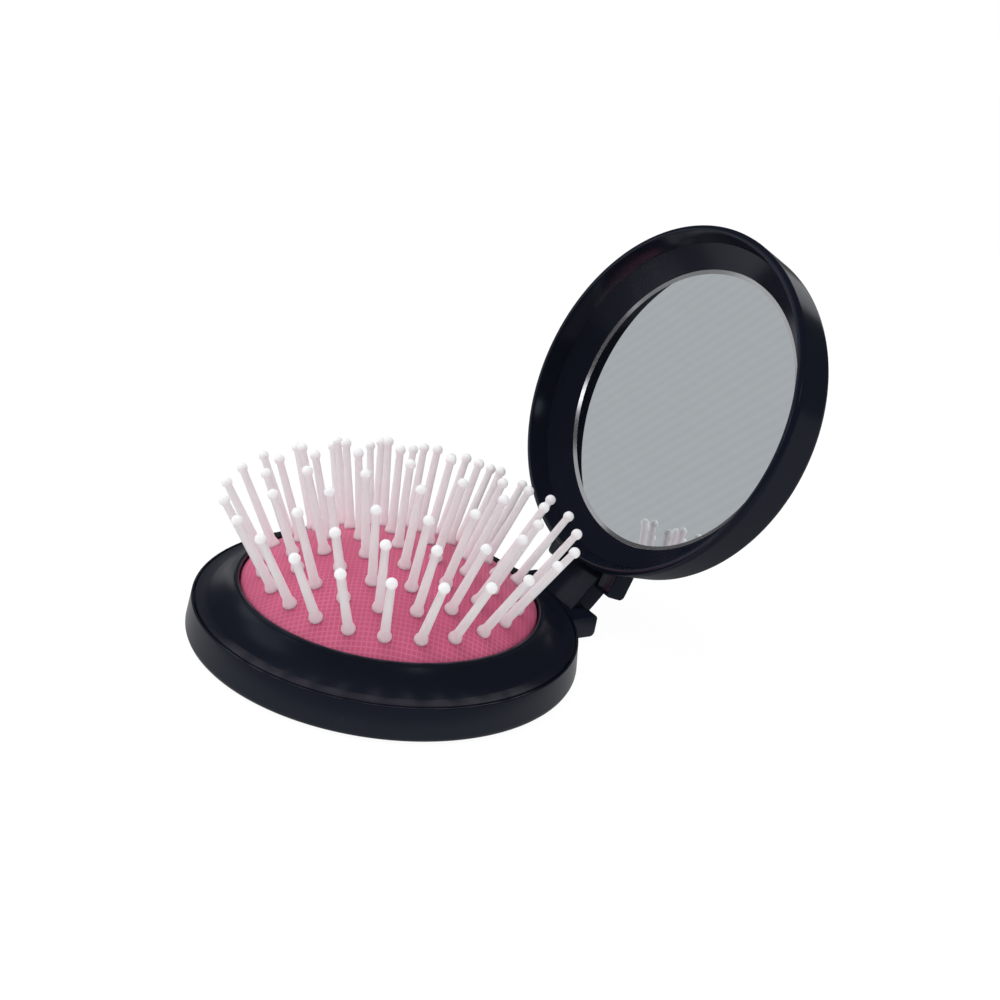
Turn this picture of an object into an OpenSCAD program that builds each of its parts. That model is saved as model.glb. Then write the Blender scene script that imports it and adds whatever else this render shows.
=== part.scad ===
// Folding pop-up hairbrush with a mirror in its lid, drawn open, the way it stands on a table.
// Millimetres. The origin is the centre of the underside, +Z is up and the hinge is at +Y.
// The lid is drawn closed on the base and then swung open about its two hinge pins.

/* [Base] */
// Widest radius of the base, at its lower edge
base_r = 34.25; // [30:0.05:40]
// Height of the base wall
base_h = 5.9; // [5.5:0.1:8]
// Rounding of the lower edge
base_round = 1.0; // [0.5:0.1:2]
// Lean of the outer walls of both halves, in degrees
lean = 7; // [0:0.5:10]
// Thickness of the base wall
base_wall = 1.6; // [1.2:0.1:2]
// Thickness of the floor
floor_t = 1.8; // [1.2:0.1:2.2]
// Width of the floor, from the wall in to the thumb opening
floor_w = 12.55; // [11:0.05:15]
// Radius of the posts under the clamp ring
post_r = 1.3; // [1:0.1:1.6]

/* [Top ring] */
// Thickness of the flat band of the top ring
ring_t = 0.7; // [0.6:0.1:1]
// Visible seam between the top ring and the wall round it
seam_gap = 0.25; // [0.1:0.05:0.4]
// Width that the wall shows outside the seam
seam_w = 0.36; // [0.3:0.02:0.6]
// Width of the flat band inside the seam
band_w = 1.95; // [1:0.05:3]
// Height of the lip round the bristle pad above that band
lip_h = 3.9; // [3.5:0.1:5]
// Width of that lip
lip_w = 1.0; // [0.7:0.1:1.5]
// Height that the lip rises above the end of the slope
lip_rise = 0.3; // [0.2:0.05:0.6]
// Width of the slope, from the flat band in to the lip
slope_w = 4.1; // [3.5:0.05:5]
// Radius of the hollow of the slope
slope_r = 9; // [6:0.5:20]

/* [Bristle pad] */
// Gap between the pad and the lip round it
pad_gap = 0.3; // [0.2:0.05:0.5]
// Height of the pad's edge above its seat
pad_edge_h = 4.0; // [3.5:0.1:4.5]
// Rise of the dome above its edge
dome_rise = 8.4; // [7:0.1:9]
// Thickness of the rubber
pad_t = 1.4; // [1:0.1:1.8]
// Thickness of the flange that is clamped
flange_t = 1.4; // [1:0.1:1.6]
// Width of the flange outside the skirt
flange_w = 2.4; // [1.5:0.1:2.6]
// Thickness of the clamp ring under the flange
clamp_t = 1.2; // [1:0.1:1.6]
// Gap between the clamp ring and the wall
clamp_gap = 0.35; // [0.2:0.05:1]

/* [Push button] */
// Width of the button outside its outer ring of pins
button_rim = 1.8; // [1.6:0.1:2.5]
// Thickness of the button
button_t = 1.6; // [1.4:0.1:2]
// Depth of the counterbores for the pin heads
counterbore = 0.8; // [0.7:0.1:1]

/* [Bristle pins] */
// Length of a pin from the pad to the centre of its ball tip
pin_len = 15; // [12:0.1:15]
// Radius of a pin at its foot
pin_r = 0.8; // [0.6:0.05:0.85]
// Radius of a pin under its ball tip
pin_tip_r = 0.65; // [0.5:0.05:0.75]
// Radius of the ball tip
ball_r = 0.95; // [0.8:0.05:1.1]
// Radius of the flared foot on the pad
foot_r = 1.2; // [1:0.05:1.4]
// Height of the flared foot
foot_h = 1.3; // [1:0.1:2]
// Radius of the head under the pad
head_r = 1.4; // [1.2:0.05:1.45]
// Thickness of that head
head_t = 0.6; // [0.5:0.05:0.65]
// Distance of each ring of pins inside the pad's edge, from the outer ring inwards
ring_in = [3.5, 8.3, 13.3, 18.8];
// Pins in each ring
ring_n = [24, 18, 12, 6];
// Angle of the first pin of each ring, in degrees
ring_a = [-1.5, 3.5, 13, -19];

/* [Lid] */
// Distance of the lid's rim inside the base's widest edge
lid_inset = 0.6; // [0.3:0.05:1]
// Thickness of the lid's back behind the mirror
lid_back_t = 1.08; // [0.8:0.02:2]
// Rounding of the lid's back edge
lid_round = 2.2; // [1:0.1:2.4]
// Width of the rim, with its round
rim_w = 1.35; // [1.2:0.05:1.6]
// Rounding of the rim's outer edge
rim_round = 0.9; // [0.4:0.1:1]
// Gap between the closed lid and the base
lid_gap = 0.3; // [0.2:0.05:0.6]
// Depth at which the wall inside the rim meets the mirror frame
frame_d = 3.9; // [3:0.1:4.2]
// Thickness of the lid's wall round the mirror frame, measured from its rim
lid_wall = 2.3; // [2:0.05:2.8]
// Width of the mirror frame round the visible mirror
frame_w = 4.04; // [3:0.02:6]
// Depth of the mirror's face below the rim
mirror_d = 7.47; // [7.4:0.01:7.6]
// Thickness of the glass
mirror_t = 1.2; // [1:0.1:1.3]
// Width of the glass held under the frame
mirror_lap = 1.0; // [0.6:0.1:1.5]
// Thickness of the frame's lip over the glass
frame_lip = 0.4; // [0.3:0.05:0.6]
// Thickness of the adhesive behind the glass
glue_t = 0.25; // [0.2:0.05:0.3]
// Distance of the adhesive's edge inside the glass's edge
glue_in = 4.25; // [2:0.05:10]

/* [Hinge] */
// Distance of the base pin outside the base's widest edge
base_pin_out = 2.7; // [2.55:0.05:3.2]
// Height of the base pin
base_pin_z = 2.25; // [2.2:0.05:2.3]
// Distance of the lid pin outside the lid's rim, with the lid closed
lid_pin_out = 0.45; // [0.4:0.05:0.65]
// Height of the lid pin above the lid's rim plane, with the lid closed
lid_pin_d = 4.95; // [4.8:0.05:5.1]
// Swing of the link from closed to open, in degrees
link_open = 57.2; // [0:0.1:57.2]
// Swing of the lid about the link from closed to open, in degrees
lid_open = 51.6; // [0:0.1:51.6]
// Width of the link
link_w = 12; // [10:0.1:12.4]
// Thickness of the link's knuckles
link_t = 4.0; // [3.8:0.1:4]
// Thickness of the link between them
link_web_t = 3.6; // [3:0.1:3.7]
// Width of each lug
lug_w = 3.7; // [3:0.1:4]
// Rounding of the lugs' ends
lug_round = 1.0; // [0.5:0.1:1.5]
// Gap between the link and the lugs, each side
side_gap = 0.3; // [0.2:0.05:0.4]
// Gap between the link and the walls it folds against
fold_gap = 0.25; // [0.2:0.05:0.35]
// Radius of the hinge pins
hinge_r = 0.8; // [0.6:0.05:1]
// Distance of each pin end inside the face of its lug
hinge_inset = 0.2; // [0:0.1:0.5]

/* [Fits] */
// Clearance round a pin or a glued piece, on the radius
fit = 0.05; // [0.02:0.01:0.1]

/* [Hidden] */
$fn = 96;
BLACK = [0.09, 0.09, 0.10];
PINK = [0.80, 0.33, 0.50];
RUBBER = [0.16, 0.15, 0.16];
NYLON = [0.93, 0.93, 0.91, 0.75];
SILVER = [0.66, 0.69, 0.70];
STEEL = [0.55, 0.56, 0.58];

// How far each cut runs past the solid that it cuts
over = 1;

// The wall leans in from a tangent on the round at its foot.
base_top_r = base_r - base_round + base_round * cos(lean)
    - (base_h - base_round * (1 + sin(lean))) * tan(lean);
base_in_r = base_top_r - base_wall;
ring_out_r = base_top_r - seam_w - seam_gap;
thumb_r = base_in_r - floor_w;
seat_z = base_h - ring_t;
slope_out_r = ring_out_r - band_w;
lip_out_r = slope_out_r - slope_w;
lip_in_r = lip_out_r - lip_w;
lip_z = base_h + lip_h;

// Pad: a dome on a short skirt, with a flange held between the top ring and the clamp ring
pad_r = lip_in_r - pad_gap;
skirt_in_r = pad_r - pad_t;
flange_r = pad_r + flange_w;
flange_z = seat_z;
crown_z = seat_z + pad_edge_h + dome_rise;
dome_r = (pad_r * pad_r + dome_rise * dome_rise) / (2 * dome_rise);
dome_z = crown_z - dome_r;
clamp_z = flange_z - clamp_t;
clamp_r = base_in_r - clamp_gap;
seat = 0.03;

// Pins stand in rings on the dome, and the inner two rings pass through the button.
ring_r = [for (d = ring_in) pad_r - d];
button_r = ring_r[2] + button_rim;
button_shank = pad_t + button_t - counterbore + seat;

// Lid, in the closed position: depth d below its rim plane is height lid_z + d.
lid_z = base_h + lid_gap;
lid_r = base_r - lid_inset;
cavity_d = mirror_d + mirror_t + glue_t;
lid_h = cavity_d + lid_back_t;
rim_flat_r = lid_r - rim_round * (1 + sin(lean)) / cos(lean);
lid_corner_r = lid_r - (lid_h - lid_round * (1 - sin(lean))) * tan(lean) - lid_round * cos(lean);
bore_r = lid_r - lid_wall;
frame_r = bore_r - fit;
mirror_r = frame_r - frame_w;
glass_r = mirror_r + mirror_lap;
glue_r = glass_r - glue_in;

// Hinge, with the lid closed
base_pin_y = base_r + base_pin_out;
lid_pin_y = lid_r + lid_pin_out;
lid_pin_z = lid_z + lid_pin_d;
lug_x = link_w / 2 + side_gap;
hinge_len = 2 * (lug_x + lug_w - hinge_inset);
link_dy = lid_pin_y - base_pin_y;
link_dz = lid_pin_z - base_pin_z;
link_len = norm([link_dy, link_dz]);
link_lean = atan2(-link_dy, link_dz);
knuckle_r = base_pin_z;

// ---- Placing ----

// A point turned by `angle` about the X-parallel axis through [y, z], opening away from the base
module swing(y, z, angle) {
    translate([0, y, z]) rotate([-angle, 0, 0]) translate([0, -y, -z]) children();
}

module link_pose() {
    swing(base_pin_y, base_pin_z, link_open) children();
}

module lid_pose() {
    link_pose() swing(lid_pin_y, lid_pin_z, lid_open) children();
}

// Upright on the dome's sphere, `r` from the axis at `angle`
module on_dome(r, angle) {
    rotate([0, 0, angle]) translate([0, 0, dome_z]) rotate([0, asin(r / dome_r), 0])
        translate([0, 0, dome_r]) children();
}

// One ring of pins, or of the holes for them
module ring_of(i) {
    for (k = [0:ring_n[i] - 1]) on_dome(ring_r[i], ring_a[i] + k * 360 / ring_n[i]) children();
}

// A cylinder along X, centred on x = 0
module axle(r, length, y, z) {
    translate([-length / 2, y, z]) rotate([0, 90, 0]) cylinder(r=r, h=length);
}

// ---- Shapes shared by several parts ----

// Half section of the base's outside
module base_outline() {
    foot_x = base_r - base_round;
    polygon([[0, 0], [foot_x, 0],
        [foot_x + base_round * cos(lean), base_round * (1 + sin(lean))],
        [base_top_r, base_h], [0, base_h]]);
    translate([foot_x, base_round]) circle(base_round);
}

// Half section of the lid's outside, depth downwards from the rim plane drawn as +Y
module lid_outline() {
    centre_d = lid_h - lid_round;
    polygon([[0, 0], [rim_flat_r, 0],
        [rim_flat_r + rim_round * cos(lean), rim_round * (1 + sin(lean))],
        [lid_corner_r + lid_round * cos(lean), centre_d + lid_round * sin(lean)],
        [lid_corner_r, centre_d], [lid_corner_r, lid_h], [0, lid_h]]);
    translate([rim_flat_r, rim_round]) circle(rim_round);
    translate([lid_corner_r, centre_d]) circle(lid_round);
}

// The link folded shut, grown by `grow` on its faces and `side` on its ends
module link_block(grow, side) {
    width = link_w + 2 * side;
    axle(link_t / 2 + grow, width, base_pin_y, base_pin_z);
    axle(link_t / 2 + grow, width, lid_pin_y, lid_pin_z);
    translate([-width / 2, base_pin_y, base_pin_z]) rotate([link_lean, 0, 0])
        translate([0, -link_web_t / 2 - grow, 0])
            cube([width, link_web_t + 2 * grow, link_len]);
}

// A pair of lugs round the pin at [y, z], each rooted in a wall of inner radius `wall_in_r`
module lugs(wall_in_r, y, z) {
    root_y = sqrt(wall_in_r * wall_in_r - lug_x * lug_x);
    reach = y - root_y + knuckle_r;
    inner = knuckle_r - lug_round;
    for (x = [-lug_x - lug_w, lug_x]) translate([x, root_y, z]) {
        translate([0, 0, -knuckle_r]) cube([lug_w, reach - lug_round, 2 * knuckle_r]);
        translate([0, 0, -inner]) cube([lug_w, reach, 2 * inner]);
        for (side = [-inner, inner]) translate([0, reach - lug_round, side])
            rotate([0, 90, 0]) cylinder(r=lug_round, h=lug_w);
    }
}

// ---- Base ----

module base_shell() {
    color(BLACK) difference() {
        union() {
            difference() {
                rotate_extrude() base_outline();
                translate([0, 0, floor_t]) cylinder(r=base_in_r, h=base_h);
                translate([0, 0, seat_z]) cylinder(r=ring_out_r + seam_gap, h=base_h);
                link_block(fold_gap, side_gap);
            }
            // Posts under the clamp ring
            for (a = [30:60:330]) rotate([0, 0, a]) translate([(clamp_r + flange_r) / 2, 0, floor_t])
                cylinder(r=post_r, h=clamp_z - floor_t);
            lugs(base_in_r, base_pin_y, base_pin_z);
        }
        translate([0, 0, -over]) cylinder(r=thumb_r, h=floor_t + 2 * over);
        axle(hinge_r + fit, 4 * lug_x, base_pin_y, base_pin_z);
    }
}

// Half section of the top ring: seat, flat band, hollow slope, lip
module top_ring_outline() {
    p = [slope_out_r, base_h];
    q = [lip_out_r, lip_z - lip_rise];
    chord = norm(p - q);
    away = [q[1] - p[1], p[0] - q[0]] / chord;
    centre = (p + q) / 2 + away * sqrt(slope_r * slope_r - chord * chord / 4);
    difference() {
        polygon([[lip_in_r, seat_z], [ring_out_r, seat_z], [ring_out_r, base_h], p, q,
            [lip_out_r, lip_z - lip_rise / 2], [lip_out_r - lip_rise / 2, lip_z],
            [lip_in_r, lip_z]]);
        intersection() {
            translate(centre) circle(slope_r);
            translate([lip_out_r, base_h]) square([slope_w, lip_h]);
        }
        translate([0, seat_z - over]) square([flange_r + pad_gap, flange_t + over]);
    }
}

module top_ring() {
    color(BLACK) rotate_extrude() top_ring_outline();
}

module pad_body() {
    difference() {
        union() {
            intersection() {
                translate([0, 0, dome_z]) sphere(dome_r, $fn=240);
                translate([0, 0, flange_z]) cylinder(r=pad_r, h=crown_z);
            }
            translate([0, 0, flange_z]) cylinder(r=flange_r, h=flange_t);
        }
        intersection() {
            translate([0, 0, dome_z]) sphere(dome_r - pad_t, $fn=240);
            translate([0, 0, flange_z - over]) cylinder(r=skirt_in_r, h=crown_z);
        }
    }
}

// The shank hole of one pin, through everything above `depth`
module pin_hole(depth) {
    translate([0, 0, -depth]) cylinder(r=pin_r + fit, h=depth + over, $fn=32);
}

module pad() {
    color(PINK) difference() {
        pad_body();
        for (i = [0:3]) ring_of(i) pin_hole(2 * pad_t);
        on_dome(0, 0) pin_hole(2 * pad_t);
    }
}

module pad_clamp() {
    color(BLACK) translate([0, 0, clamp_z]) difference() {
        cylinder(r=clamp_r, h=clamp_t);
        translate([0, 0, -over]) cylinder(r=skirt_in_r, h=clamp_t + 2 * over);
    }
}

// ---- Push button and the pins that pass through it ----

// The hole of one pin in the button, with a counterbore for its head
module button_hole() {
    pin_hole(pad_t + 2 * button_t);
    translate([0, 0, -pad_t - 2 * button_t])
        cylinder(r=head_r + fit, h=button_t + counterbore, $fn=48);
}

module push_button() {
    color(BLACK) difference() {
        intersection() {
            translate([0, 0, dome_z]) difference() {
                sphere(dome_r - pad_t - fit, $fn=240);
                sphere(dome_r - pad_t - button_t, $fn=240);
            }
            cylinder(r=button_r, h=crown_z);
        }
        ring_of(2) button_hole();
        ring_of(3) button_hole();
        on_dome(0, 0) button_hole();
    }
}

// One pin, with `shank` below the pad's surface down to its head
module bristle_pin(shank) {
    color(NYLON) {
        cylinder(r1=foot_r, r2=pin_r, h=foot_h, $fn=32);
        cylinder(r1=pin_r, r2=pin_tip_r, h=pin_len, $fn=32);
        translate([0, 0, pin_len]) sphere(ball_r, $fn=32);
        translate([0, 0, -shank - head_t]) {
            cylinder(r=pin_r, h=shank + head_t, $fn=32);
            cylinder(r=head_r, h=head_t, $fn=32);
        }
    }
}

module pins_outer_ring() ring_of(0) bristle_pin(pad_t + seat);
module pins_second_ring() ring_of(1) bristle_pin(pad_t + seat);
module pins_third_ring() ring_of(2) bristle_pin(button_shank);
module pins_inner_ring() ring_of(3) bristle_pin(button_shank);
module centre_pin() on_dome(0, 0) bristle_pin(button_shank);

// ---- Hinge ----

module hinge_link() {
    color(BLACK) link_pose() difference() {
        link_block(0, 0);
        axle(hinge_r + fit, 2 * link_w, base_pin_y, base_pin_z);
        axle(hinge_r + fit, 2 * link_w, lid_pin_y, lid_pin_z);
    }
}

module base_hinge_pin() {
    color(STEEL) axle(hinge_r, hinge_len, base_pin_y, base_pin_z);
}

module lid_hinge_pin() {
    color(STEEL) lid_pose() axle(hinge_r, hinge_len, lid_pin_y, lid_pin_z);
}

// ---- Lid ----

module lid_shell() {
    color(BLACK) lid_pose() difference() {
        union() {
            difference() {
                translate([0, 0, lid_z]) rotate_extrude() lid_outline();
                translate([0, 0, lid_z]) rotate_extrude() polygon([[0, -over], [lid_r - rim_w, -over],
                    [lid_r - rim_w, 0], [bore_r, frame_d], [bore_r, cavity_d], [0, cavity_d]]);
                link_block(fold_gap, side_gap);
            }
            lugs(bore_r, lid_pin_y, lid_pin_z);
        }
        axle(hinge_r + fit, 4 * lug_x, lid_pin_y, lid_pin_z);
    }
}

module mirror_frame() {
    rebate_r = glass_r + fit;
    color(BLACK) lid_pose() translate([0, 0, lid_z]) rotate_extrude()
        polygon([[frame_r, frame_d], [mirror_r, mirror_d - frame_lip], [mirror_r, mirror_d],
            [rebate_r, mirror_d], [rebate_r, cavity_d], [frame_r, cavity_d]]);
}

module mirror() {
    color(SILVER) lid_pose() translate([0, 0, lid_z + mirror_d])
        cylinder(r=glass_r, h=mirror_t);
}

module mirror_adhesive() {
    color(RUBBER) lid_pose() translate([0, 0, lid_z + mirror_d + mirror_t])
        cylinder(r=glue_r, h=glue_t);
}

base_shell();
top_ring();
pad();
pad_clamp();
push_button();
centre_pin();
pins_inner_ring();
pins_third_ring();
pins_second_ring();
pins_outer_ring();
hinge_link();
base_hinge_pin();
lid_hinge_pin();
lid_shell();
mirror_frame();
mirror();
mirror_adhesive();
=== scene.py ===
"""Folding pop-up hairbrush with a mirror in its lid: the visual model and its studio.

Every piece is built in metres in the CAD's own frame: the origin is the centre of the base's underside,
+Z is up and the hinge is at +Y. The lid and the link are built folded shut and then swung open.
"""

import logging
import math
from dataclasses import dataclass, field
from enum import Enum
from typing import Callable, Iterable, Sequence

import bmesh
import bpy
from bmesh.types import BMesh, BMFace, BMVert
from bpy.types import ID, Material, Mesh, Node, NodeSocket, NodeTree, Object
from mathutils import Matrix, Vector


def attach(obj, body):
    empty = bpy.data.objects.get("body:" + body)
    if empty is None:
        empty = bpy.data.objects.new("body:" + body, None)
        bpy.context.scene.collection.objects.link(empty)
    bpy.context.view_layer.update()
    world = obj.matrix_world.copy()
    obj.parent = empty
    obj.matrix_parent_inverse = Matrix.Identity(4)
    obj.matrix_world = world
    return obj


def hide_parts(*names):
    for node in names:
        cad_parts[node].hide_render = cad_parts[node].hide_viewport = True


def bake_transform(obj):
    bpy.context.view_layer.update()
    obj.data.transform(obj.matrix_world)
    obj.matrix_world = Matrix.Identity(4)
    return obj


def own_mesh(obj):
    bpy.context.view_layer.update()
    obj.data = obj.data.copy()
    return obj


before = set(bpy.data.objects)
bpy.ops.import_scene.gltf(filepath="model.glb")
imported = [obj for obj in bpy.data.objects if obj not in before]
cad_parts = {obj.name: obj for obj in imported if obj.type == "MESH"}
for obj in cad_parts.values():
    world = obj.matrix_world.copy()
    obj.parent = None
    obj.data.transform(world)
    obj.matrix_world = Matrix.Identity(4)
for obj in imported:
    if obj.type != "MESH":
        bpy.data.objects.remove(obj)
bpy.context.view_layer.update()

logging.basicConfig(level=logging.INFO, format="%(levelname)s %(message)s")
LOG = logging.getLogger("hairbrush")

MM = 0.001
SEGMENTS = 192
SHARP_DEG = 35.0
BRISTLE_SHARP_DEG = 50.0
NEAR = 1e-7
Pair = tuple[float, float]
Triple = tuple[float, float, float]
Colour = Triple
Point = Pair


class Body(str, Enum):
    """The CAD bodies that pieces ride on."""

    BASE = "base"
    BUTTON = "button"
    LINK = "link"
    LID = "lid"


class Slot(str, Enum):
    """The record's material slots."""

    BLACK = "black_plastic"
    BLACK_MATTE = "black_matte"
    PINK = "pink_rubber"
    NYLON = "nylon"
    STEEL = "steel"
    GLASS = "mirror_glass"
    ADHESIVE = "adhesive"


# Mesh helpers


@dataclass(frozen=True)
class Corner:
    """A corner of a half section, in millimetres, with the radius of its round."""

    r: float
    z: float
    round: float = 0.0


def rounded_outline(corners: Sequence[Corner], steps: int = 5, support: float = 0.12) -> list[Point]:
    """Turn corners into a closed outline with rounds.

    Args:
        corners: The corners in order round the closed section.
        steps: Segments in each round.
        support: Distance from each round at which an extra point keeps the flat beside it flat.

    Returns:
        The outline's points in millimetres.
    """
    least = 0.02
    count = len(corners)
    at = [Vector((c.r, c.z)) for c in corners]
    into = [(at[i - 1] - at[i]).normalized() for i in range(count)]
    out = [(at[(i + 1) % count] - at[i]).normalized() for i in range(count)]
    half = [a.angle(b) / 2 for a, b in zip(into, out)]
    trim = [c.round / math.tan(h) for c, h in zip(corners, half)]
    points: list[Point] = []
    for i, corner in enumerate(corners):
        if corner.round <= 0:
            points.append(tuple(at[i]))
            continue
        following = (i + 1) % count
        lead = min(support, ((at[i - 1] - at[i]).length - trim[i - 1] - trim[i]) / 3)
        tail = min(support, ((at[following] - at[i]).length - trim[following] - trim[i]) / 3)
        centre = at[i] + (into[i] + out[i]).normalized() * (corner.round / math.sin(half[i]))
        start, end = at[i] + into[i] * trim[i], at[i] + out[i] * trim[i]
        first, last = start - centre, end - centre
        turn = math.atan2(first.x * last.y - first.y * last.x, first.dot(last))
        if lead > least:
            points.append(tuple(start + into[i] * lead))
        for k in range(steps + 1):
            c, s = math.cos(turn * k / steps), math.sin(turn * k / steps)
            points.append((centre.x + c * first.x - s * first.y, centre.y + s * first.x + c * first.y))
        if tail > least:
            points.append(tuple(end + out[i] * tail))
    return points


def lathe(bm: BMesh, outline: Sequence[Point], segments: int = SEGMENTS) -> None:
    """Turn a closed outline, in millimetres, about the Z axis into bm.

    Args:
        bm: The mesh that the solid is added to, in metres.
        outline: Points of the closed half section. Points on the axis become poles.
        segments: Steps round the axis.
    """
    rings: list[list[BMVert]] = []
    for r, z in outline:
        turns = [math.tau * k / segments for k in range(1 if r < NEAR else segments)]
        rings.append([bm.verts.new((r * MM * math.cos(turn), r * MM * math.sin(turn), z * MM)) for turn in turns])
    faces: list[BMFace] = []
    for i, ring in enumerate(rings):
        other = rings[(i + 1) % len(rings)]
        if len(ring) == 1 and len(other) == 1:
            continue
        for k in range(segments):
            quad = [loop[i % len(loop)] for loop, i in ((ring, k), (ring, k + 1), (other, k + 1), (other, k))]
            faces.append(bm.faces.new(list(dict.fromkeys(quad))))
    bmesh.ops.recalc_face_normals(bm, faces=faces)


def slab(bm: BMesh, outline: Sequence[Point], x0: float, x1: float, edge: float = 0.0) -> None:
    """Add a slab across X to bm, with a side outline in Y and Z.

    Args:
        bm: The mesh that the slab is added to.
        outline: (y, z) points in millimetres, in order round the outline.
        x0: Lower X face in millimetres.
        x1: Upper X face in millimetres.
        edge: Bevel of the two outlines' edges.
    """
    verts = [bm.verts.new((x0 * MM, y * MM, z * MM)) for y, z in outline]
    face = bm.faces.new(verts)
    made = bmesh.ops.extrude_face_region(bm, geom=[face])["geom"]
    top = [g for g in made if isinstance(g, BMVert)]
    bmesh.ops.translate(bm, verts=top, vec=((x1 - x0) * MM, 0, 0))
    every = verts + top
    bmesh.ops.recalc_face_normals(bm, faces=list(dict.fromkeys(f for v in every for f in v.link_faces)))
    if edge > 0:
        edges = dict.fromkeys(e for v in every for e in v.link_edges)
        rims = [e for e in edges if abs(e.verts[0].co.x - e.verts[1].co.x) < NEAR]
        bmesh.ops.bevel(bm, geom=rims, offset=edge * MM, segments=3, profile=0.5, affect="EDGES", clamp_overlap=True)


def add_object(name: str, data: ID) -> Object:
    """Make an object and link it to the scene.

    Args:
        name: The object's name.
        data: Its mesh, light or camera.

    Returns:
        The object.
    """
    obj = bpy.data.objects.new(name, data)
    bpy.context.scene.collection.objects.link(obj)
    return obj


def shade(mesh: Mesh, sharp_deg: float = SHARP_DEG) -> None:
    """Shade a mesh smooth, apart from edges that turn by more than an angle."""
    mesh.shade_smooth()
    mesh.set_sharp_from_angle(angle=math.radians(sharp_deg))


def make_object(name: str, build: Callable[[BMesh], None], pose: Matrix = Matrix.Identity(4),
                sharp_deg: float = SHARP_DEG) -> Object:
    """Build a mesh object at the origin.

    Args:
        name: The piece's name.
        build: Called with the empty mesh to fill.
        pose: A matrix put on the mesh, which leaves the object itself untransformed.
        sharp_deg: Edges that turn by more than this stay sharp.

    Returns:
        The linked object.
    """
    bm = bmesh.new()
    build(bm)
    bm.transform(pose)
    mesh = bpy.data.meshes.new(name)
    bm.to_mesh(mesh)
    bm.free()
    shade(mesh, sharp_deg)
    return add_object(name, mesh)


def bake(obj: Object, sharp_deg: float = SHARP_DEG) -> None:
    """Keep what a piece's modifiers make of it as its plain mesh.

    Args:
        obj: The piece.
        sharp_deg: Edges that turn by more than this stay sharp.
    """
    depsgraph = bpy.context.evaluated_depsgraph_get()
    mesh = bpy.data.meshes.new_from_object(obj.evaluated_get(depsgraph), depsgraph=depsgraph)
    obj.modifiers.clear()
    old, obj.data = obj.data, mesh
    bpy.data.meshes.remove(old)
    mesh.name = obj.name
    shade(mesh, sharp_deg)


def carve(obj: Object, cutter_build: Callable[[BMesh], None]) -> None:
    """Cut a shape out of a piece.

    Args:
        obj: The piece that is cut.
        cutter_build: Fills the cutter's mesh.
    """
    cutter = make_object(f"{obj.name}_cutter", cutter_build)
    modifier = obj.modifiers.new("cut", "BOOLEAN")
    modifier.operation = "DIFFERENCE"
    modifier.solver = "EXACT"
    modifier.object = cutter
    bake(obj)
    bpy.data.objects.remove(cutter, do_unlink=True)


def merge_into(obj: Object, other: Object) -> None:
    """Join another object's mesh to a piece's own.

    Args:
        obj: The piece.
        other: The object that it takes up, which is removed.
    """
    bm = bmesh.new()
    bm.from_mesh(obj.data)
    bm.from_mesh(other.data)
    bpy.data.objects.remove(other, do_unlink=True)
    bm.to_mesh(obj.data)
    bm.free()
    shade(obj.data)


# Finishes


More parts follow.
